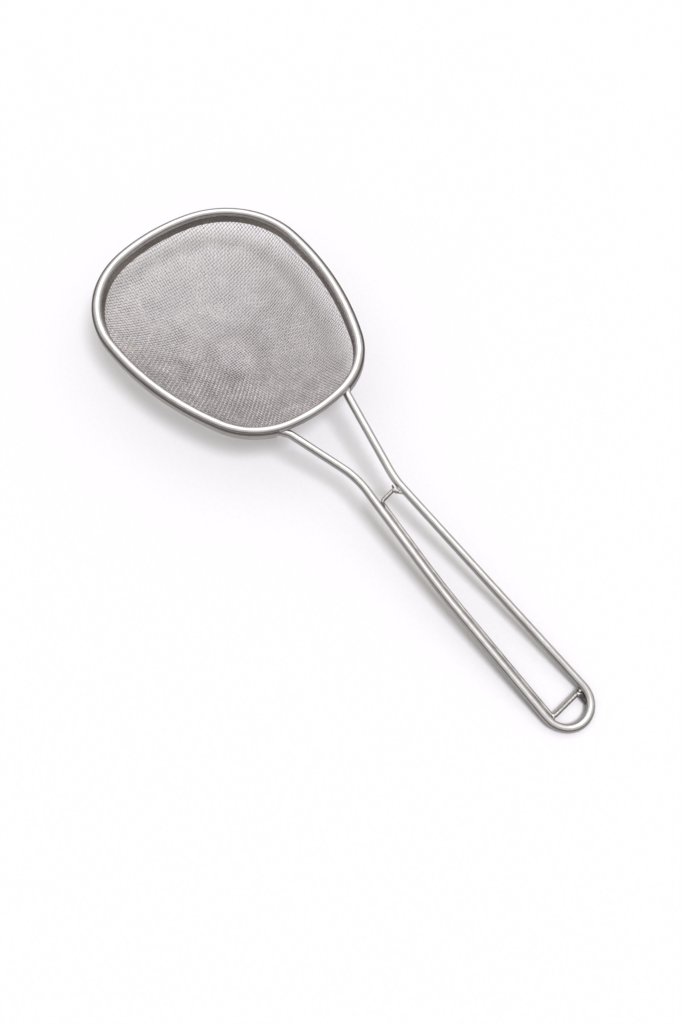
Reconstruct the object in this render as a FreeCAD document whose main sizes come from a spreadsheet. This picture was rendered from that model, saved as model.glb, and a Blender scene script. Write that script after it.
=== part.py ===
import FreeCAD, Part
import math
import os
import Sketcher
from FreeCAD import Placement, Rotation, Vector

# Wire-handled tea strainer, in millimetres, standing as it rests on a table.
# +X runs along the handle towards its hanging loop, +Z is up, and the origin
# is under the middle of the whole strainer, on the surface it stands on.

DOC = FreeCAD.newDocument("tea_strainer")
SHEET = DOC.addObject("Spreadsheet::Sheet", "Dimensions")

DIMENSIONS = [
    # the whole strainer
    ("overall_length", 189.4),
    ("overall_height", 20.5),
    # rim outline, read clockwise from the far end; radii of the bead's centre line
    ("far_radius", 53.5),
    ("far_corner_radius", 26.6),
    ("side_radius", 90.5),
    ("near_corner_radius", 21.3),
    # heading of the outline where each stretch hands over to the next, in degrees
    ("far_heading", 77.5),
    ("side_heading", 2.0),
    ("taper_heading", -25.0),
    ("near_heading", -78.5),
    # rolled band, its core wire and the hoop around them
    ("bead_radius", 1.25),
    ("strip_thickness", 0.35),
    ("roll_start_angle", -50.0),
    ("roll_end_angle", 215.0),
    ("leg_reach", 1.7),
    ("leg_drop", 2.2),
    ("hoop_above", 0.35),
    ("hoop_below", 1.75),
    ("hoop_right_end", 11.0),
    ("hoop_left_top", 13.0),
    ("hoop_left_bottom", 14.2),
    # woven bowl
    ("mesh_thickness", 0.45),
    ("mesh_tuck", 0.6),
    ("bowl_flat", 0.14),
    ("bowl_roundness", 0.9),
    # handle wire
    ("wire_diameter", 2.3),
    ("weld_drop", 1.6),
    ("right_weld_y", 9.8),
    ("left_turn_x", -12.0),
    ("left_turn_y", 10.6),
    ("left_end_x", -14.0),
    ("left_end_y", 12.1),
    ("left_turn_radius", 3.0),
    ("right_bend_x", 15.0),
    ("right_bend_y", 4.1),
    ("left_bend_x", 8.6),
    ("left_bend_y", 3.85),
    ("left_bow_x", 46.0),
    ("left_bow_y", 6.35),
    ("bend_radius", 26.0),
    ("bow_radius", 300.0),
    ("loop_radius", 6.55),
    # thin brace wire, welded across both ends of the handle
    ("brace_diameter", 1.1),
    ("brace_drop", 0.5),
    ("brace_clearance", 0.05),
    ("brace_bend_radius", 1.0),
    ("neck_bar_x", 17.7),
    ("neck_kink_x", 17.0),
    ("neck_kink_y", 1.9),
    ("neck_end_x", 19.0),
    ("loop_bar_x", 87.9),
    ("loop_end_x", 87.2),
]

for row, (alias, value) in enumerate(DIMENSIONS, start=1):
    SHEET.set("A%d" % row, alias)
    SHEET.set("B%d" % row, str(value))
    SHEET.setAlias("B%d" % row, alias)
DOC.recompute()


def size(alias):
    return float(getattr(SHEET, alias))


def bound(alias):
    return "Dimensions.%s" % alias


# how far a cutting shape reaches past what it cuts
CUT_MARGIN = 1.0
# sections of the bowl, as shares of its width, from the flat to the edge
BOWL_SCALES = [size("bowl_flat"), 0.26, 0.38, 0.5, 0.62, 0.74, 0.86, 1.0]

BEAD_R = size("bead_radius")
STRIP = size("strip_thickness")
WIRE_R = size("wire_diameter") / 2
HALF_LENGTH = size("overall_length") / 2
RIM_Z = size("overall_height") - BEAD_R
FAR_X = -HALF_LENGTH + BEAD_R + STRIP


# ---------------------------------------------------------------- the outline

def rim_stretches():
    """Radius, first heading and last heading of each stretch of one half."""
    headings = [90.0, size("far_heading"), size("side_heading"),
                size("taper_heading"), size("near_heading"), -90.0]
    headings = [math.radians(angle) for angle in headings]
    radii = [size("far_radius"), size("far_corner_radius"),
             size("side_radius"), size("near_corner_radius")]
    width = 0.0
    for index, radius in enumerate(radii):
        width += radius * (math.cos(headings[index + 1]) - math.cos(headings[index]))
    # the near end's radius is the one that brings the outline back to the X axis
    radii.append(width / math.cos(headings[4]))
    return [(radii[i], headings[i], headings[i + 1]) for i in range(5)]


def outline_arcs(offset=0.0, scale=1.0):
    """Arcs of the closed outline as (centre x, centre y, radius, start, end).

    An offset moves the outline outwards, and a scale below 1 shrinks it
    towards the middle of the bowl.
    """
    half = []
    x = FAR_X - offset
    y = 0.0
    for radius, first, last in rim_stretches():
        radius += offset
        centre_x = x + radius * math.sin(first)
        centre_y = y - radius * math.cos(first)
        half.append((centre_x, centre_y, radius, last + math.pi / 2, first + math.pi / 2))
        x = centre_x - radius * math.sin(last)
        y = centre_y + radius * math.cos(last)
    other_half = [(cx, -cy, r, -end, -start) for cx, cy, r, start, end in reversed(half)]
    return [(BOWL_X + scale * (cx - BOWL_X), scale * cy, scale * r, start, end)
            for cx, cy, r, start, end in half + other_half]


def outline_length_along_x():
    return sum(radius * (math.sin(first) - math.sin(last))
               for radius, first, last in rim_stretches())


BOWL_X = FAR_X + outline_length_along_x() / 2
NEAR_X = FAR_X + outline_length_along_x()


def arc(centre_x, centre_y, radius, start, end):
    circle = Part.Circle(Vector(centre_x, centre_y, 0), Vector(0, 0, 1), radius)
    return Part.ArcOfCircle(circle, start, end)


def line(start, end):
    return Part.LineSegment(Vector(start[0], start[1], 0), Vector(end[0], end[1], 0))


# ------------------------------------------------------- bodies and sketches

def new_body(name):
    body = DOC.addObject("PartDesign::Body", name)
    body.Label = name
    return body


def origin_plane(body, role):
    for feature in body.Origin.OriginFeatures:
        if feature.Role == role:
            return feature
    raise ValueError(role)


def new_sketch(body, name, role="XY_Plane", height=0.0):
    sketch = body.newObject("Sketcher::SketchObject", name)
    sketch.AttachmentSupport = [(origin_plane(body, role), "")]
    sketch.MapMode = "FlatFace"
    sketch.AttachmentOffset = Placement(Vector(0, 0, height), Rotation())
    return sketch


def closed_polygon(corners):
    return [line(corner, corners[(index + 1) % len(corners)])
            for index, corner in enumerate(corners)]


def draw(sketch, pieces):
    for piece in pieces:
        sketch.addGeometry(piece, False)


def draw_bound_circle(sketch, centre, expression, radius):
    """A circle whose radius follows the sheet."""
    circle = Part.Circle(Vector(centre[0], centre[1], 0), Vector(0, 0, 1), radius)
    index = sketch.addGeometry(circle, False)
    constraint = sketch.addConstraint(Sketcher.Constraint("Radius", index, radius))
    sketch.setExpression("Constraints[%d]" % constraint, expression)


def outline_sketch(body, name, offset=0.0, scale=1.0, height=0.0):
    sketch = new_sketch(body, name, "XY_Plane", height)
    draw(sketch, [arc(*piece) for piece in outline_arcs(offset, scale)])
    return sketch


def pipe(body, name, kind, profile, path):
    feature = body.newObject("PartDesign::%sPipe" % kind, name)
    feature.Profile = profile
    feature.Spine = (path, [])
    return feature


# ------------------------------------------------------------------- the rim

def make_rim_core_wire():
    body = new_body("rim_core_wire")
    path = outline_sketch(body, "CorePath", height=RIM_Z)
    profile = new_sketch(body, "CoreSection", "XZ_Plane")
    draw_bound_circle(profile, (FAR_X, RIM_Z),
                      "%s - %s" % (bound("bead_radius"), bound("strip_thickness")),
                      BEAD_R - STRIP)
    pipe(body, "CoreWire", "Additive", profile, path)
    return body


def leg_corners():
    """The leg's root on the roll, its tip and its lower tip: (inward, down)."""
    angle = math.radians(size("roll_end_angle"))
    root = (-BEAD_R * math.cos(angle), -BEAD_R * math.sin(angle))
    tip = (size("leg_reach"), size("leg_drop"))
    run = math.hypot(tip[0] - root[0], tip[1] - root[1])
    lower_tip = (tip[0] - STRIP * (tip[1] - root[1]) / run,
                 tip[1] + STRIP * (tip[0] - root[0]) / run)
    return root, tip, lower_tip


def make_rim_band():
    """Strip rolled over the core wire, with a leg that lies on the mesh."""
    body = new_body("rim_band")
    path = outline_sketch(body, "BandPath", height=RIM_Z)
    # drawn at the far end, where inwards is +X, so the roll's angles are mirrored
    profile = new_sketch(body, "BandSection", "XZ_Plane")
    start = math.pi - math.radians(size("roll_end_angle"))
    end = math.pi - math.radians(size("roll_start_angle"))
    inner_r = BEAD_R - STRIP

    def on_roll(radius, angle):
        return (FAR_X + radius * math.cos(angle), RIM_Z + radius * math.sin(angle))

    root, tip, lower_tip = [(FAR_X + inward, RIM_Z - down) for inward, down in leg_corners()]
    draw(profile, [
        arc(FAR_X, RIM_Z, BEAD_R, start, end),
        line(on_roll(BEAD_R, end), on_roll(inner_r, end)),
        arc(FAR_X, RIM_Z, inner_r, start, end),
        line(on_roll(inner_r, start), lower_tip),
        line(lower_tip, tip),
        line(tip, root),
    ])
    pipe(body, "RolledStrip", "Additive", profile, path)
    return body


def make_rim_hoop():
    """Upright strip around the bead, open where the handle wires are welded."""
    body = new_body("rim_hoop")
    low = RIM_Z - size("hoop_below")
    top = RIM_Z + size("hoop_above")
    sketch = outline_sketch(body, "HoopWall", BEAD_R + STRIP, height=low)
    draw(sketch, [arc(*piece) for piece in outline_arcs(BEAD_R)])
    wall = body.newObject("PartDesign::Pad", "Hoop")
    wall.Profile = sketch
    wall.setExpression("Length", "%s + %s" % (bound("hoop_above"), bound("hoop_below")))
    DOC.recompute()
    # the left end is cut on the slant, so it is further back at the lower edge
    gap = new_sketch(body, "HoopGap", "YZ_Plane")
    lean = (size("hoop_left_bottom") - size("hoop_left_top")) / (top - low)
    wide = size("hoop_left_bottom") + lean * CUT_MARGIN
    narrow = size("hoop_left_top") - lean * CUT_MARGIN
    right = size("hoop_right_end")
    draw(gap, closed_polygon([(-wide, low - CUT_MARGIN), (right, low - CUT_MARGIN),
                              (right, top + CUT_MARGIN), (-narrow, top + CUT_MARGIN)]))
    ends = body.newObject("PartDesign::Pocket", "HoopEnds")
    ends.Profile = gap
    ends.Length = -BOWL_X
    DOC.recompute()
    if wall.Shape.Volume - ends.Shape.Volume < 1.0:
        ends.Reversed = True
        DOC.recompute()
    return body


# ------------------------------------------------------------ the woven bowl

def bowl_profile():
    """(scale, height of the lower face, slope) from the flat to the edge."""
    flat = size("bowl_flat")
    roundness = size("bowl_roundness")
    _, _, lower_tip = leg_corners()
    half_width = BOWL_X - FAR_X

    def dish(scale):
        return math.hypot(scale, roundness) - math.hypot(flat, roundness)

    # first without the cloth's thickness, then with it, as the wall's slope gives it
    depth = RIM_Z - lower_tip[1]
    slope = depth / half_width / dish(1.0) / math.hypot(1.0, roundness)
    depth -= size("mesh_thickness") * math.hypot(1.0, slope)
    rows = []
    for scale in BOWL_SCALES:
        height = depth * dish(scale) / dish(1.0)
        slope = depth / half_width / dish(1.0) * scale / math.hypot(scale, roundness)
        rows.append((scale, height, slope))
    return rows


def make_mesh_bowl():
    """The woven cloth as a closed shell of its own outer shape and thickness."""
    body = new_body("mesh_bowl")
    thick = size("mesh_thickness")
    tuck = size("mesh_tuck")
    _, _, lower_tip = leg_corners()
    edge = -lower_tip[0]
    under_bead = RIM_Z - BEAD_R
    lower = [(edge, scale, height) for scale, height, _ in bowl_profile()]
    lower += [(0.0, 1.0, under_bead - thick), (tuck, 1.0, under_bead - thick),
              (tuck, 1.0, under_bead)]
    upper = [(edge, scale, height + thick * math.hypot(1.0, slope))
             for scale, height, slope in bowl_profile()]
    upper += [(0.0, 1.0, under_bead), (0.0, 1.0, under_bead + CUT_MARGIN)]
    for kind, rows in (("Additive", lower), ("Subtractive", upper)):
        sketches = [outline_sketch(body, "%sSection%d" % (kind, index), *row)
                    for index, row in enumerate(rows)]
        skin = body.newObject("PartDesign::%sLoft" % kind, "%sSkin" % kind)
        skin.Profile = sketches[0]
        skin.Sections = sketches[1:]
        skin.Ruled = True
        DOC.recompute()
    return body


# ---------------------------------------------------------------- the handle

def handle_slope():
    """Angle by which the handle falls from the rim to the table, in radians."""
    rise = RIM_Z - size("weld_drop") - WIRE_R
    return math.atan2(rise, HALF_LENGTH - WIRE_R - NEAR_X)


def on_handle(x):
    """Distance along the sloping handle plane of the point above x."""
    return (x - NEAR_X) / math.cos(handle_slope())


def tangent_point(point, centre_u, radius, side):
    """Where the straight wire from point meets the loop's circle."""
    du = point[0] - centre_u
    dy = point[1]
    distance = math.hypot(du, dy)
    to_point = math.atan2(dy, du)
    angle = to_point - side * math.acos(radius / distance)
    return (centre_u + radius * math.cos(angle), radius * math.sin(angle)), angle


def bend(before, corner, after, radius):
    """Arc that rounds a corner: (first point, arc, last point)."""
    def unit(start, end):
        run = math.hypot(end[0] - start[0], end[1] - start[1])
        return ((end[0] - start[0]) / run, (end[1] - start[1]) / run)

    into = unit(before, corner)
    out = unit(corner, after)
    turn = math.atan2(into[0] * out[1] - into[1] * out[0], into[0] * out[0] + into[1] * out[1])
    setback = radius * math.tan(abs(turn) / 2)
    first = (corner[0] - into[0] * setback, corner[1] - into[1] * setback)
    last = (corner[0] + out[0] * setback, corner[1] + out[1] * setback)
    side = 1.0 if turn > 0 else -1.0
    centre = (first[0] - side * into[1] * radius, first[1] + side * into[0] * radius)
    angle_first = math.atan2(first[1] - centre[1], first[0] - centre[0])
    angle_last = math.atan2(last[1] - centre[1], last[0] - centre[0])
    if turn > 0:
        return first, arc(centre[0], centre[1], radius, angle_first, angle_last), last
    return first, arc(centre[0], centre[1], radius, angle_last, angle_first), last


def handle_placement():
    """The sloping plane of the handle; its X runs towards the loop."""
    start = Vector(NEAR_X, 0, RIM_Z - size("weld_drop"))
    return Placement(start, Rotation(Vector(0, 1, 0), math.degrees(handle_slope())))


def loop_centre():
    """Distance of the hanging loop's centre along the handle plane."""
    return on_handle(HALF_LENGTH - WIRE_R) - size("loop_radius")


def left_leg():
    """Corners of the left leg's centre line: bend, bow, and where it meets the loop."""
    corner = (on_handle(size("left_bend_x")), -size("left_bend_y"))
    bow = (on_handle(size("left_bow_x")), -size("left_bow_y"))
    touch, angle = tangent_point(bow, loop_centre(), size("loop_radius"), -1)
    return corner, bow, touch, angle


def right_leg():
    """The right leg's bend, and where it meets the loop."""
    corner = (on_handle(size("right_bend_x")), size("right_bend_y"))
    touch, angle = tangent_point(corner, loop_centre(), size("loop_radius"), 1)
    return corner, touch, angle


def make_handle_wire():
    """One wire: welded end, neck, bend, handle, loop and back again."""
    body = new_body("handle_wire")
    # both ends start under the bead, and are trimmed to it below
    right_start = (on_handle(NEAR_X), size("right_weld_y"))
    left_start = (on_handle(size("left_end_x")), -size("left_end_y"))
    left_turn = (on_handle(size("left_turn_x")), -size("left_turn_y"))
    right_corner, right_touch, right_angle = right_leg()
    left_corner, left_bow, left_touch, left_angle = left_leg()
    radius = size("bend_radius")
    r_first, r_arc, r_last = bend(right_start, right_corner, right_touch, radius)
    b_first, b_arc, b_last = bend(left_touch, left_bow, left_corner, size("bow_radius"))
    l_first, l_arc, l_last = bend(left_bow, left_corner, left_turn, radius)
    t_first, t_arc, t_last = bend(left_corner, left_turn, left_start,
                                  size("left_turn_radius"))
    path = new_sketch(body, "WirePath")
    path.AttachmentOffset = handle_placement()
    draw(path, [
        line(right_start, r_first),
        r_arc,
        line(r_last, right_touch),
        arc(loop_centre(), 0.0, size("loop_radius"), left_angle, right_angle),
        line(left_touch, b_first),
        b_arc,
        line(b_last, l_first),
        l_arc,
        line(l_last, t_first),
        t_arc,
        line(t_last, left_start),
    ])
    sweep_wire(body, handle_placement(), right_start, r_first,
               "%s / 2" % bound("wire_diameter"), WIRE_R, path)
    DOC.recompute()
    trim_to_bead(body)
    return body


def sweep_wire(body, plane, start, towards, expression, radius, path):
    """Sweeps a round wire along a path that begins at start in the given plane."""
    section = new_sketch(body, path.Name + "Section")
    along = Vector(towards[0] - start[0], towards[1] - start[1], 0)
    section.AttachmentOffset = plane.multiply(
        Placement(Vector(start[0], start[1], 0), Rotation(Vector(0, 0, 1), along)))
    draw_bound_circle(section, (0.0, 0.0), expression, radius)
    pipe(body, path.Name + "Wire", "Additive", section, path)


def trim_to_bead(body):
    """Saddle the wire's two ends to the bead's outside, and clear the mesh."""
    inside = outline_sketch(body, "InsideOfTuck", size("mesh_tuck"), height=0.0)
    clear = body.newObject("PartDesign::Pocket", "ClearOfMesh")
    clear.Profile = inside
    clear.Type = "ThroughAll"
    clear.Midplane = True
    path = outline_sketch(body, "SaddlePath", height=RIM_Z)
    section = new_sketch(body, "SaddleSection", "XZ_Plane")
    draw_bound_circle(section, (FAR_X, RIM_Z), bound("bead_radius"), BEAD_R)
    DOC.recompute()
    pipe(body, "Saddle", "Subtractive", section, path)


# ------------------------------------------------------------- the brace wire

def make_brace_wire(handle):
    """Thin wire that crosses the neck, runs beside the left leg and crosses the loop."""
    brace_r = size("brace_diameter") / 2
    apart = WIRE_R + brace_r + size("brace_clearance")
    beside = math.sqrt(apart ** 2 - size("brace_drop") ** 2)
    corner, bow, touch, _ = left_leg()

    def beside_leg(u, start, end):
        share = (u - start[0]) / (end[0] - start[0])
        slant = math.hypot(1.0, (end[1] - start[1]) / (end[0] - start[0]))
        return (u, start[1] + share * (end[1] - start[1]) + beside * slant)

    right_corner, right_touch, _ = right_leg()
    neck_end_u = on_handle(size("neck_end_x"))
    share = (neck_end_u - right_corner[0]) / (right_touch[0] - right_corner[0])
    neck_end = (neck_end_u, right_corner[1] + share * (right_touch[1] - right_corner[1]))
    kink = (on_handle(size("neck_kink_x")), size("neck_kink_y"))
    neck = beside_leg(on_handle(size("neck_bar_x")), corner, bow)
    middle = beside_leg(bow[0], corner, bow)
    loop = beside_leg(on_handle(size("loop_bar_x")), bow, touch)
    loop_end = (on_handle(size("loop_end_x")), size("loop_radius"))
    tight = size("brace_bend_radius")
    k_first, k_arc, k_last = bend(neck_end, kink, neck, tight)
    n_first, n_arc, n_last = bend(kink, neck, middle, tight)
    m_first, m_arc, m_last = bend(neck, middle, loop, size("bow_radius"))
    e_first, e_arc, e_last = bend(middle, loop, loop_end, tight)
    body = new_body("brace_rod")
    plane = handle_placement().multiply(
        Placement(Vector(0, 0, -size("brace_drop")), Rotation()))
    path = new_sketch(body, "BracePath")
    path.AttachmentOffset = plane
    draw(path, [
        line(neck_end, k_first),
        k_arc,
        line(k_last, n_first),
        n_arc,
        line(n_last, m_first),
        m_arc,
        line(m_last, e_first),
        e_arc,
        line(e_last, loop_end),
    ])
    sweep_wire(body, plane, neck_end, k_first,
               "%s / 2" % bound("brace_diameter"), brace_r, path)
    DOC.recompute()
    brace = DOC.addObject("Part::Cut", "brace_wire")
    brace.Base = body
    brace.Tool = handle
    brace.Label = "brace_wire"
    return brace


# ------------------------------------------------------------------- building

def build():
    handle = make_handle_wire()
    parts = [
        make_rim_core_wire(),
        make_rim_band(),
        make_rim_hoop(),
        make_mesh_bowl(),
        handle,
        make_brace_wire(handle),
    ]
    DOC.recompute()
    return parts


def check(parts):
    for item in DOC.Objects:
        if "Invalid" in item.State or "Error" in item.State:
            raise ValueError("failed object: %s %s" % (item.Name, item.State))
    for item in parts:
        if item.Shape.isNull() or not item.Shape.isValid():
            raise ValueError("bad shape: %s" % item.Label)
        if len(item.Shape.Solids) != 1:
            raise ValueError("not one solid: %s" % item.Label)


def export(parts):
    os.makedirs("parts", exist_ok=True)
    for item in parts:
        item.Shape.exportStep("parts/%s.step" % item.Label)
        box = item.Shape.BoundBox
        print("%-14s volume %8.1f  x %7.2f %7.2f  y %7.2f %7.2f  z %6.2f %6.2f" % (
            item.Label, item.Shape.Volume, box.XMin, box.XMax,
            box.YMin, box.YMax, box.ZMin, box.ZMax))


PARTS = build()
check(PARTS)
export(PARTS)
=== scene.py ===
import math

import bmesh
import bpy
import numpy as np
from mathutils import Matrix, Vector
from mathutils.noise import noise as noise_value


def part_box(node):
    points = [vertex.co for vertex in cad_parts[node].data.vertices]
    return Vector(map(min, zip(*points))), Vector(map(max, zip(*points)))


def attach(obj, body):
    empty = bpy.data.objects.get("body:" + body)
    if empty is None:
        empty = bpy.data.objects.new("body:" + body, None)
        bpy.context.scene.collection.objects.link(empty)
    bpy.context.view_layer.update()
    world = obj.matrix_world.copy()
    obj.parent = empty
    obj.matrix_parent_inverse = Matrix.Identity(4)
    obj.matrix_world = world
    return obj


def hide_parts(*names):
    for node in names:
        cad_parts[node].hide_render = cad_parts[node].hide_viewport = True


# Looks of the wire-handled tea strainer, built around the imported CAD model.
# Metres, the CAD frame: +X runs along the handle to its loop, +Z is up.

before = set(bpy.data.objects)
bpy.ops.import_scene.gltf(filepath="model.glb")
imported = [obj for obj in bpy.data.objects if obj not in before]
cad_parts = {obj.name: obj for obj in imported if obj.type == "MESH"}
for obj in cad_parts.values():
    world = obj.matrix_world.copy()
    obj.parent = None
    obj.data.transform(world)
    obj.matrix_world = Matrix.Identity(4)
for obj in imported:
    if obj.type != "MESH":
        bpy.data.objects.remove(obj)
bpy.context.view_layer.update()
MM = 0.001

# ------------------------------------------------------------ sizes from the frame
CORE_LOW, CORE_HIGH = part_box("rim_core_wire")
_, BAND_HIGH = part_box("rim_band")
CORE_R = (CORE_HIGH.z - CORE_LOW.z) / 2
RIM_Z = (CORE_HIGH.z + CORE_LOW.z) / 2
BEAD_R = BAND_HIGH.z - RIM_Z
FAR_X = CORE_LOW.x + CORE_R
NEAR_X = CORE_HIGH.x - CORE_R
BOWL_X = (FAR_X + NEAR_X) / 2
HALF_LENGTH = (NEAR_X - FAR_X) / 2

# the outline's radii, and the heading in degrees where each gives way to the next
RADII = [53.5 * MM, 26.6 * MM, 90.5 * MM, 21.3 * MM]
HEADINGS = [90.0, 77.5, 2.0, -25.0, -78.5, -90.0]

# woven cloth; CRIMP is how far a thread rises and dips, STRAY its random error
PITCH = 0.79 * MM
THREAD_R = 0.115 * MM
CRIMP = 0.105 * MM
STRAY = 0.006 * MM
# the bowl's shape: thickness, roundness, flat's share of the width, and where its edge lies
CLOTH = 0.45 * MM
ROUNDNESS = 0.9
FLAT = 0.14
EDGE_INSET = 1.38 * MM
EDGE_DROP = 2.894 * MM
TUCK = 0.5 * MM


def outline_radii():
    """Radii of all five stretches; the last brings the outline back to the X axis."""
    turns = [math.radians(heading) for heading in HEADINGS]
    width = sum(radius * (math.cos(turns[i + 1]) - math.cos(turns[i]))
                for i, radius in enumerate(RADII))
    return RADII + [width / math.cos(turns[4])], turns


def outline_points(offset, steps=160):
    """Points of the upper half outline, moved outwards by offset, far end first."""
    radii, turns = outline_radii()
    x, y = FAR_X - offset, 0.0
    points = []
    for i, radius in enumerate(radii):
        radius += offset
        centre_x = x + radius * math.sin(turns[i])
        centre_y = y - radius * math.cos(turns[i])
        heading = np.linspace(turns[i], turns[i + 1], steps)
        xs = centre_x - radius * np.sin(heading)
        ys = centre_y + radius * np.cos(heading)
        points.append(np.stack([xs, ys], 1))
        x, y = xs[-1], ys[-1]
    return np.concatenate(points)


def polar_table(offset):
    """Angle about the bowl's middle against distance, for the upper half."""
    points = outline_points(offset)
    angle = np.arctan2(points[:, 1], points[:, 0] - BOWL_X)
    reach = np.hypot(points[:, 1], points[:, 0] - BOWL_X)
    order = np.argsort(angle)
    return angle[order], reach[order]


EDGE_TABLE = polar_table(-EDGE_INSET)
RIM_TABLE = polar_table(TUCK)


def bowl_height(x, y):
    """Height of the cloth's middle above the table, and how far out the point is."""
    angle = np.abs(np.arctan2(y, x - BOWL_X))
    reach = np.hypot(y, x - BOWL_X)
    edge = np.interp(angle, *EDGE_TABLE)
    rim = np.interp(angle, *RIM_TABLE)
    share = reach / edge
    depth = RIM_Z - EDGE_DROP

    def dish(s):
        return np.hypot(s, ROUNDNESS) - math.hypot(FLAT, ROUNDNESS)

    inside = depth * np.maximum(dish(share), 0.0) / dish(1.0) + CLOTH / 2
    top = RIM_Z - BEAD_R - CLOTH / 2
    edge_height = depth + CLOTH / 2
    outside = edge_height + (top - edge_height) * (reach - edge) / (rim - edge)
    return np.where(share < 1.0, inside, outside), reach / rim


# ------------------------------------------------------------------ mesh helpers

def mesh_object(name, points, faces, material, smooth=True):
    """A new object from an array of points and one of faces."""
    mesh = bpy.data.meshes.new(name)
    mesh.vertices.add(len(points))
    mesh.vertices.foreach_set("co", np.asarray(points, np.float32).ravel())
    size = faces.shape[1]
    mesh.loops.add(faces.size)
    mesh.loops.foreach_set("vertex_index", faces.ravel().astype(np.int32))
    mesh.polygons.add(len(faces))
    mesh.polygons.foreach_set("loop_start", np.arange(0, faces.size, size, dtype=np.int32))
    mesh.polygons.foreach_set("use_smooth", np.full(len(faces), smooth))
    mesh.update(calc_edges=True)
    mesh.validate()
    mesh.materials.append(material)
    obj = bpy.data.objects.new(name, mesh)
    bpy.context.scene.collection.objects.link(obj)
    return obj


def tube_faces(start, rings, sides):
    """Quads of one open-ended tube, whose rings follow each other from vertex start."""
    ring = np.arange(rings - 1)[:, None]
    side = np.arange(sides)[None, :]
    after = (side + 1) % sides
    a = start + ring * sides + side
    b = start + ring * sides + after
    return np.stack([a, b, b + sides, a + sides], -1).reshape(-1, 4)


# --------------------------------------------------------------------- materials

def new_material(name):
    material = bpy.data.materials.new(name)
    material.use_nodes = True
    nodes = material.node_tree.nodes
    return material, nodes, material.node_tree.links, nodes["Principled BSDF"]


def noise(nodes, links, vector, scale, detail=3.0):
    node = nodes.new("ShaderNodeTexNoise")
    node.inputs["Scale"].default_value = scale
    node.inputs["Detail"].default_value = detail
    links.new(vector, node.inputs["Vector"])
    return node.outputs["Fac"]


def ramp(nodes, links, value, stops):
    node = nodes.new("ShaderNodeValToRGB")
    while len(node.color_ramp.elements) < len(stops):
        node.color_ramp.elements.new(0.5)
    for element, (place, colour) in zip(node.color_ramp.elements, stops):
        element.position = place
        element.color = (*colour, 1.0)
    links.new(value, node.inputs["Fac"])
    return node.outputs["Color"]


# a noise pattern's values lie between these nearly everywhere
NOISE_LOW = 0.3
NOISE_HIGH = 0.7


def map_range(nodes, links, value, low, high):
    """Spreads a noise pattern between a low and a high value."""
    node = nodes.new("ShaderNodeMapRange")
    node.inputs["From Min"].default_value = NOISE_LOW
    node.inputs["From Max"].default_value = NOISE_HIGH
    node.inputs["To Min"].default_value = low
    node.inputs["To Max"].default_value = high
    links.new(value, node.inputs["Value"])
    return node.outputs["Result"]


def math_node(nodes, links, operation, first, second):
    node = nodes.new("ShaderNodeMath")
    node.operation = operation
    for socket, value in zip(node.inputs, (first, second)):
        if isinstance(value, float):
            socket.default_value = value
        else:
            links.new(value, socket)
    return node.outputs[0]


def along_rim(nodes, links, place):
    """Coordinates that run along the rim, out from it and up, in metres."""
    parts = nodes.new("ShaderNodeSeparateXYZ")
    links.new(place, parts.inputs[0])
    x = math_node(nodes, links, "SUBTRACT", parts.outputs["X"], BOWL_X)
    angle = math_node(nodes, links, "ARCTAN2", parts.outputs["Y"], x)
    arc = math_node(nodes, links, "MULTIPLY", angle, HALF_LENGTH)
    square = math_node(nodes, links, "ADD", math_node(nodes, links, "MULTIPLY", x, x),
                       math_node(nodes, links, "MULTIPLY", parts.outputs["Y"], parts.outputs["Y"]))
    joined = nodes.new("ShaderNodeCombineXYZ")
    links.new(arc, joined.inputs["X"])
    links.new(math_node(nodes, links, "SQRT", square, 0.0), joined.inputs["Y"])
    links.new(parts.outputs["Z"], joined.inputs["Z"])
    return joined.outputs[0]


def height_of(nodes, links, place):
    parts = nodes.new("ShaderNodeSeparateXYZ")
    links.new(place, parts.inputs[0])
    return parts.outputs["Z"]


def paint_shade(nodes, links, value, colour, full, clear, tone):
    """Paints shade: multiplies the colour by a tone, fully at one value and not at all at the
    other.
    """
    share = nodes.new("ShaderNodeMapRange")
    share.inputs["From Min"].default_value = full
    share.inputs["From Max"].default_value = clear
    links.new(value, share.inputs["Value"])
    shade = ramp(nodes, links, share.outputs["Result"], [(0.0, tone), (1.0, (1.0, 1.0, 1.0))])
    mix = nodes.new("ShaderNodeMix")
    mix.data_type = "RGBA"
    mix.blend_type = "MULTIPLY"
    mix.inputs["Factor"].default_value = 1.0
    links.new(colour, mix.inputs["A"])
    links.new(shade, mix.inputs["B"])
    return mix.outputs["Result"]


# how drawing lines and stains mix, and where the mix turns to the dark and light colour
STAIN_SCALE = 160.0
LINE_SHARE = 0.6
STAIN_SHARE = 0.4
DARK_BELOW = 0.36
LIGHT_ABOVE = 0.62
RELIEF_DEPTH = 0.02 * MM


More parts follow.
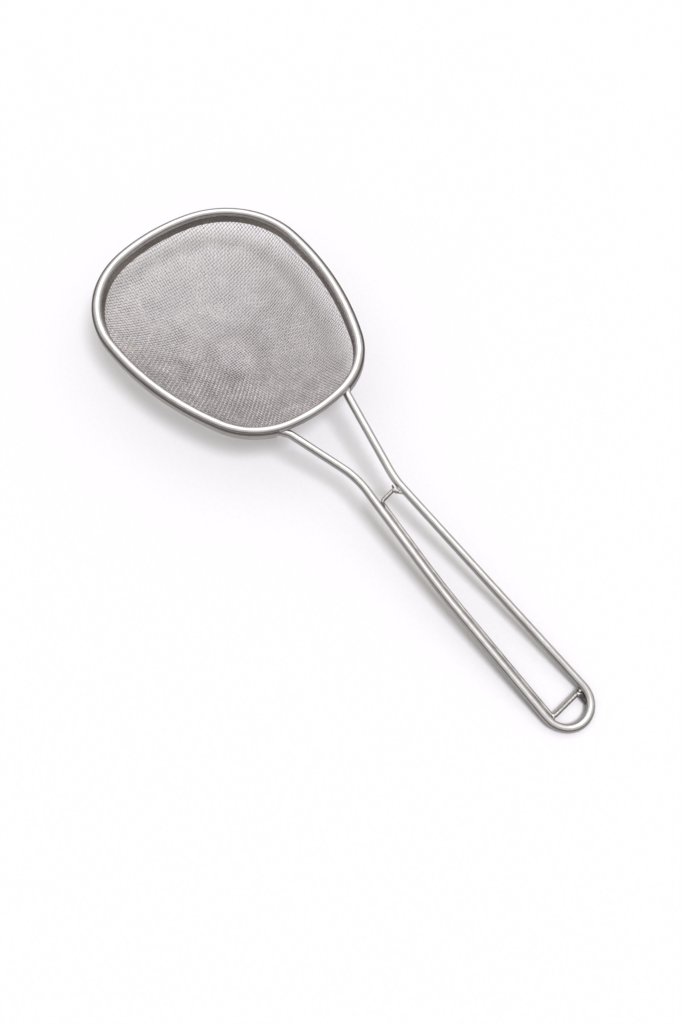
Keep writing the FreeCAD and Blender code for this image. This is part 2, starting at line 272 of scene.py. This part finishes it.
def steel(name, dark, light, rough, streak, round_rim=False, bump=0.04, painted_shade=None):
    """Stainless steel whose fine drawing lines run along the piece."""
    material, nodes, links, shader = new_material(name)
    place = nodes.new("ShaderNodeTexCoord").outputs["Object"]
    along = along_rim(nodes, links, place) if round_rim else place
    stretch = nodes.new("ShaderNodeMapping")
    stretch.inputs["Scale"].default_value = streak
    links.new(along, stretch.inputs["Vector"])
    lines = noise(nodes, links, stretch.outputs["Vector"], 1.0)
    stains = noise(nodes, links, place, STAIN_SCALE, 4.0)
    blend = math_node(nodes, links, "ADD",
                      math_node(nodes, links, "MULTIPLY", lines, LINE_SHARE),
                      math_node(nodes, links, "MULTIPLY", stains, STAIN_SHARE))
    colour = ramp(nodes, links, blend, [(DARK_BELOW, dark), (LIGHT_ABOVE, light)])
    # painted shade: the colour darkens by height
    if painted_shade:
        colour = paint_shade(nodes, links, height_of(nodes, links, place), colour, *painted_shade)
    links.new(colour, shader.inputs["Base Color"])
    links.new(map_range(nodes, links, blend, *rough), shader.inputs["Roughness"])
    shader.inputs["Metallic"].default_value = 1.0
    relief = nodes.new("ShaderNodeBump")
    relief.inputs["Strength"].default_value = bump
    relief.inputs["Distance"].default_value = RELIEF_DEPTH
    links.new(lines, relief.inputs["Height"])
    links.new(relief.outputs["Normal"], shader.inputs["Normal"])
    return material


WARM_DARK = (0.58, 0.56, 0.55)
WARM_LIGHT = (0.74, 0.725, 0.72)
# painted shade, given as the height of full effect, the height where it ends, and the tone;
# the three below are under the bead, along the hoop's upper edge and at the bottom of the bowl
BEAD_UNDERSIDE_PAINTED_SHADE = (RIM_Z - 0.75 * MM, RIM_Z - 0.1 * MM, (0.56, 0.53, 0.515))
# painted shade along the hoop's upper edge, where it meets the bead
HOOP_EDGE_PAINTED_SHADE = (RIM_Z + 0.33 * MM, RIM_Z + 0.02 * MM, (0.13, 0.12, 0.115))
# painted shade on the cloth at the bottom of the bowl
BOWL_BOTTOM_PAINTED_SHADE = (0.5 * MM, 3.2 * MM, (0.80, 0.79, 0.785))
RIM_STEEL = steel("rim_band_steel", WARM_DARK, WARM_LIGHT, (0.13, 0.20), (150, 4000, 4000),
                  round_rim=True, painted_shade=BEAD_UNDERSIDE_PAINTED_SHADE)
HOOP_STEEL = steel("rim_hoop_steel", WARM_DARK, WARM_LIGHT, (0.28, 0.42), (250, 5000, 5000),
                   round_rim=True, painted_shade=HOOP_EDGE_PAINTED_SHADE)
WIRE_STEEL = steel("handle_steel", WARM_DARK, WARM_LIGHT, (0.07, 0.13), (150, 4000, 4000))
MESH_STEEL = steel("mesh_wire_steel", (0.45, 0.42, 0.41), (0.95, 0.91, 0.90), (0.08, 0.16),
                   (1500, 1500, 1500), painted_shade=BOWL_BOTTOM_PAINTED_SHADE)
BRACE_STEEL = steel("brace_steel", (0.30, 0.285, 0.275), (0.60, 0.58, 0.57), (0.14, 0.26),
                    (250, 2500, 2500))
WELD_STEEL = steel("weld_steel", (0.55, 0.53, 0.515), (0.88, 0.86, 0.85), (0.12, 0.30),
                   (2500, 2500, 2500), bump=0.3)
# near-black weld metal
NEAR_BLACK_WELD_STEEL = steel("near_black_weld_steel", (0.07, 0.062, 0.058), (0.20, 0.18, 0.17), (0.30, 0.55),
                    (2500, 2500, 2500), bump=0.3)


def paint(node, material):
    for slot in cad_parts[node].material_slots:
        slot.material = material


paint("rim_band", RIM_STEEL)
paint("rim_core_wire", RIM_STEEL)
paint("rim_hoop", HOOP_STEEL)
paint("handle_wire", WIRE_STEEL)
paint("brace_wire", BRACE_STEEL)


# ------------------------------------------------------------------ woven cloth
THREAD_SIDES = 4
# a thread lies level over each crossing and dives between crossings
LEVEL_SHARE = 0.2
SWAY = 0.12 * MM
WARP_SEED = 5
WEFT_SEED = 9


def sway(x, y):
    """How far pressing the bowl has pulled the threads aside, as (x, y)."""
    side = SWAY * np.sin(x / (9.0 * MM) + 1.3) * np.sin(y / (13.0 * MM) + 0.4)
    along = SWAY * np.sin(y / (8.0 * MM) + 2.1) * np.sin(x / (15.0 * MM) + 0.9)
    return along, side


def on_cloth(x, y, lift):
    """Points on the cloth, lifted along its normal, with that normal."""
    step = 0.05 * MM
    height, share = bowl_height(x, y)
    slope_x = (bowl_height(x + step, y)[0] - bowl_height(x - step, y)[0]) / (2 * step)
    slope_y = (bowl_height(x, y + step)[0] - bowl_height(x, y - step)[0]) / (2 * step)
    normal = np.stack([-slope_x, -slope_y, np.ones_like(slope_x)], -1)
    normal /= np.linalg.norm(normal, axis=-1, keepdims=True)
    points = np.stack([x, y, height], -1) + normal * lift[..., None]
    return points, normal, share


def weave(name, lengthwise):
    """All the threads of one direction as one mesh."""
    count_x = int(HALF_LENGTH / PITCH) + 2
    count_y = int(BAND_HIGH.y / PITCH) + 2
    along = np.arange(-count_x, count_x + 1) if lengthwise else np.arange(-count_y, count_y + 1)
    across = np.arange(-count_y, count_y + 1) if lengthwise else np.arange(-count_x, count_x + 1)
    points, faces, start = [], [], 0
    turn = np.linspace(0.0, 2 * math.pi, THREAD_SIDES, endpoint=False) + math.pi / 4
    chance = np.random.RandomState(WARP_SEED if lengthwise else WEFT_SEED)
    for line in across:
        crossing = np.repeat(along, 2)
        spot = crossing + np.tile([-LEVEL_SHARE, LEVEL_SHARE], len(along))
        sign = np.where((crossing + line) % 2 == 0, 1.0, -1.0) * (1.0 if lengthwise else -1.0)
        main = spot * PITCH
        other = line * PITCH + chance.normal(0.0, STRAY, len(main)) + chance.normal(0.0, STRAY)
        crimp = sign * CRIMP + chance.normal(0.0, STRAY, len(main))
        x, y = (main + BOWL_X, other) if lengthwise else (other + BOWL_X, main)
        shift_x, shift_y = sway(x, y)
        spine, normal, share = on_cloth(x + shift_x, y + shift_y, crimp)
        keep = share < 1.0
        if keep.sum() < 4:
            continue
        spine, normal = spine[keep], normal[keep]
        tangent = np.gradient(spine, axis=0)
        tangent /= np.linalg.norm(tangent, axis=1, keepdims=True)
        side = np.cross(tangent, normal)
        side /= np.linalg.norm(side, axis=1, keepdims=True)
        lift = np.cross(side, tangent)
        ring = (spine[:, None, :]
                + THREAD_R * np.cos(turn)[None, :, None] * side[:, None, :]
                + THREAD_R * np.sin(turn)[None, :, None] * lift[:, None, :])
        points.append(ring.reshape(-1, 3))
        faces.append(tube_faces(start, len(spine), THREAD_SIDES))
        start += ring.shape[0] * THREAD_SIDES
    cloth = mesh_object(name, np.concatenate(points), np.concatenate(faces), MESH_STEEL)
    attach(cloth, "root")
    return cloth


WARP = weave("mesh_warp", True)
WEFT = weave("mesh_weft", False)
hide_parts("mesh_bowl")
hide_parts("mesh_bowl")


# ------------------------------------------------------------------------ welds
WELD_DETAIL = 4
WELD_LUMPS = 1.6
# height of the large and the small lumps, and how many times closer the small ones lie
LARGE_LUMP = 0.28
SMALL_LUMP = 0.12
SMALL_LUMP_SCALE = 2.7


def weld(name, start, end, thick, material, seed):
    """A lumpy drop of weld metal lying between two points given in millimetres."""
    start, end = Vector(start) * MM, Vector(end) * MM
    along = end - start
    turn = along.to_track_quat("X", "Z")
    centre = (start + end) / 2
    reach = Vector((along.length / 2 + thick * MM, thick * MM, thick * MM))
    shape = bmesh.new()
    bmesh.ops.create_icosphere(shape, subdivisions=WELD_DETAIL, radius=1.0)
    for vertex in shape.verts:
        place = vertex.co * WELD_LUMPS + Vector((seed, 0.0, 0.0))
        lump = (1.0 + LARGE_LUMP * noise_value(place)
                + SMALL_LUMP * noise_value(place * SMALL_LUMP_SCALE))
        local = Vector((vertex.co.x * reach.x, vertex.co.y * reach.y, vertex.co.z * reach.z))
        vertex.co = centre + turn @ (local * lump)
    for face in shape.faces:
        face.smooth = True
    mesh = bpy.data.meshes.new(name)
    shape.to_mesh(mesh)
    shape.free()
    mesh.materials.append(material)
    drop = bpy.data.objects.new(name, mesh)
    bpy.context.scene.collection.objects.link(drop)
    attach(drop, "root")


def make_welds():
    """Drops where wires meet; places and thicknesses are in millimetres from the wires' ends."""
    brace_low, brace_high = [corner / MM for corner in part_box("brace_wire")]
    handle_low, handle_high = [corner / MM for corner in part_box("handle_wire")]
    neck = Vector((brace_low.x + 0.9, 2.1, brace_high.z - 0.15))
    loop = Vector((brace_high.x, 0.0, brace_low.z))
    left = Vector((handle_low.x, handle_low.y, handle_high.z - 1.3))
    right = Vector((NEAR_X / MM, handle_high.y, handle_high.z - 1.35))
    welds = [
        ("neck_weld", neck, (0.0, 0.0, 0.0), (0.7, 0.4, -0.1), 0.72, WELD_STEEL),
        ("neck_weld_nub", neck, (1.0, 0.5, -0.1), (1.6, 0.8, -0.2), 0.42, WELD_STEEL),
        ("neck_weld_spur", neck, (-0.4, 0.0, 0.1), (-1.2, 0.2, 0.3), 0.30, NEAR_BLACK_WELD_STEEL),
        ("neck_corner_weld", neck, (0.9, -5.1, -0.1), (2.0, -5.4, -0.3), 0.36, NEAR_BLACK_WELD_STEEL),
        ("loop_weld", loop, (-1.1, 4.7, 1.0), (2.3, 4.3, 0.5), 0.50, NEAR_BLACK_WELD_STEEL),
        ("loop_weld_cap", loop, (-1.0, 4.0, 1.1), (-0.5, 4.5, 1.1), 0.40, WELD_STEEL),
        ("loop_corner_weld", loop, (-0.3, -4.9, 0.9), (-1.1, -4.7, 1.0), 0.40, WELD_STEEL),
        ("rim_weld_left", left, (0.0, 0.3, 0.0), (0.3, 1.1, 0.0), 0.60, WELD_STEEL),
        ("rim_weld_right", right, (-0.3, -1.3, 0.0), (-0.2, -0.9, 0.0), 0.60, BRACE_STEEL),
    ]
    for seed, (name, base, start, end, thick, material) in enumerate(welds):
        weld(name, base + Vector(start), base + Vector(end), thick, material, float(seed))


make_welds()


# ------------------------------------------------------------------ floor and light

FLOOR_HALF = 3.0
FLOOR_COLOURS = ((0.53, 0.52, 0.545), (0.545, 0.535, 0.56))
# painted shade: the dark colour that the floor shows in the metal's reflections
FLOOR_SHADE_IN_REFLECTIONS = (0.26, 0.25, 0.25, 1.0)
# painted shadow: the floor is a little darker under the bowl; two distances from its middle, and
# the tone
PAINTED_SHADOW_UNDER_BOWL = (3.5 * MM, 13.0 * MM, (0.86, 0.86, 0.855))


def make_floor():
    half = FLOOR_HALF
    corners = np.array([[-half, -half, 0], [half, -half, 0], [half, half, 0], [-half, half, 0]])
    material, nodes, links, shader = new_material("pale_floor")
    place = nodes.new("ShaderNodeTexCoord").outputs["Object"]
    grain = noise(nodes, links, place, 900.0)
    lit = ramp(nodes, links, grain, list(zip((NOISE_LOW, NOISE_HIGH), FLOOR_COLOURS)))
    apart = nodes.new("ShaderNodeVectorMath")
    apart.operation = "DISTANCE"
    apart.inputs[1].default_value = (BOWL_X, 0.0, 0.0)
    links.new(place, apart.inputs[0])
    # painted shadow under the bowl
    lit = paint_shade(nodes, links, apart.outputs["Value"], lit, *PAINTED_SHADOW_UNDER_BOWL)
    # painted shade: glossy rays see the floor in its darker colour
    rays = nodes.new("ShaderNodeLightPath")
    reflected_shade = nodes.new("ShaderNodeMix")
    reflected_shade.data_type = "RGBA"
    reflected_shade.inputs["B"].default_value = FLOOR_SHADE_IN_REFLECTIONS
    links.new(rays.outputs["Is Glossy Ray"], reflected_shade.inputs["Factor"])
    links.new(lit, reflected_shade.inputs["A"])
    links.new(reflected_shade.outputs["Result"], shader.inputs["Base Color"])
    shader.inputs["Roughness"].default_value = 0.9
    shader.inputs["Specular IOR Level"].default_value = 0.0
    floor = mesh_object("floor", corners, np.array([[0, 1, 2, 3]]), material, smooth=False)


make_floor()

# soft light from high above, a little to the handle's side
KEY_FROM = Vector((0.48, -0.02, 1.0)).normalized()
KEY_ENERGY = 3.1
KEY_TONE = (1.0, 1.0, 1.05)
KEY_ANGLE = math.radians(20)
key = bpy.data.lights.new("key", "SUN")
key.energy = KEY_ENERGY
key.color = KEY_TONE
key.angle = KEY_ANGLE
key_object = bpy.data.objects.new("key", key)
key_object.rotation_mode = "QUATERNION"
key_object.rotation_quaternion = KEY_FROM.to_track_quat("Z", "Y")
key_object.visible_glossy = False
bpy.context.scene.collection.objects.link(key_object)

# light for the floor, from overhead, and light that the metal mirrors, from a softbox;
# each list gives the brightness against how squarely a direction faces that light
SKY_TONE = (1.0, 0.98, 0.905, 1.0)
SKY_FROM = (0.1, 0.0, 1.0)
SKY_GAIN = 1.5
SKY_LEVELS = [(0.0, 0.12), (0.3, 0.21), (0.55, 0.45), (0.75, 0.83), (0.87, 1.0)]
SOFTBOX_TONE = (1.0, 0.985, 0.98, 1.0)
SOFTBOX_FROM = (-0.356, 0.292, 0.888)
SOFTBOX_GAIN = 2.0
SOFTBOX_LEVELS = [(0.0, 0.09), (0.2, 0.24), (0.37, 0.33), (0.76, 0.44), (0.92, 0.85), (0.98, 1.0)]
BACKDROP = (1.0, 0.995, 1.0, 1.0)


def dot_with(nodes, links, direction, towards):
    product = nodes.new("ShaderNodeVectorMath")
    product.operation = "DOT_PRODUCT"
    product.inputs[1].default_value = towards
    links.new(direction, product.inputs[0])
    return product.outputs["Value"]


def grey_ramp(nodes, links, value, stops):
    return ramp(nodes, links, value, [(spot, (level,) * 3) for spot, level in stops])


def make_studio():
    """Overhead light for the floor, and a softbox on the far side for the metal to mirror."""
    world = bpy.data.worlds.new("studio")
    bpy.context.scene.world = world
    world.use_nodes = True
    nodes, links = world.node_tree.nodes, world.node_tree.links
    direction = nodes.new("ShaderNodeTexCoord").outputs["Generated"]
    sky = grey_ramp(nodes, links, dot_with(nodes, links, direction, SKY_FROM), SKY_LEVELS)
    softbox = grey_ramp(nodes, links, dot_with(nodes, links, direction, SOFTBOX_FROM),
                        SOFTBOX_LEVELS)
    parts = []
    for colour, level, gain in ((SKY_TONE, sky, SKY_GAIN), (SOFTBOX_TONE, softbox, SOFTBOX_GAIN)):
        part = nodes.new("ShaderNodeBackground")
        part.inputs["Color"].default_value = colour
        links.new(math_node(nodes, links, "MULTIPLY", level, gain), part.inputs["Strength"])
        parts.append(part)
    backdrop = nodes["Background"]
    backdrop.inputs["Color"].default_value = BACKDROP
    rays = nodes.new("ShaderNodeLightPath")
    light = parts[0]
    for output, other in (("Is Glossy Ray", parts[1]), ("Is Camera Ray", backdrop)):
        choose = nodes.new("ShaderNodeMixShader")
        links.new(rays.outputs[output], choose.inputs["Fac"])
        links.new(light.outputs[0], choose.inputs[1])
        links.new(other.outputs[0], choose.inputs[2])
        light = choose
    links.new(light.outputs[0], nodes["World Output"].inputs["Surface"])


make_studio()

# ------------------------------------------------------------------------ camera
AIM = Vector((8.25 * MM, -8.98 * MM, 0.0))
CAMERA_HEADING = math.radians(140.65)
CAMERA_ELEVATION = math.radians(62.58)
CAMERA_ROLL = math.radians(0.25)
CAMERA_DISTANCE = 280.0 * MM
CAMERA_LENS = 35.07
CAMERA_NEAR = 0.01

forward = Vector((math.cos(CAMERA_ELEVATION) * math.cos(CAMERA_HEADING),
                  math.cos(CAMERA_ELEVATION) * math.sin(CAMERA_HEADING),
                  -math.sin(CAMERA_ELEVATION)))
right = forward.cross(Vector((0, 0, 1))).normalized()
up = right.cross(forward)
right, up = (right * math.cos(CAMERA_ROLL) + up * math.sin(CAMERA_ROLL),
             up * math.cos(CAMERA_ROLL) - right * math.sin(CAMERA_ROLL))
camera = bpy.data.objects.new("camera", bpy.data.cameras.new("camera"))
camera.data.lens = CAMERA_LENS
camera.data.clip_start = CAMERA_NEAR
turn_to = Matrix((right, up, -forward)).transposed().to_4x4()
camera.matrix_world = Matrix.Translation(AIM - forward * CAMERA_DISTANCE) @ turn_to
bpy.context.scene.collection.objects.link(camera)
bpy.context.scene.camera = camera
bpy.context.scene.view_settings.view_transform = "Standard"
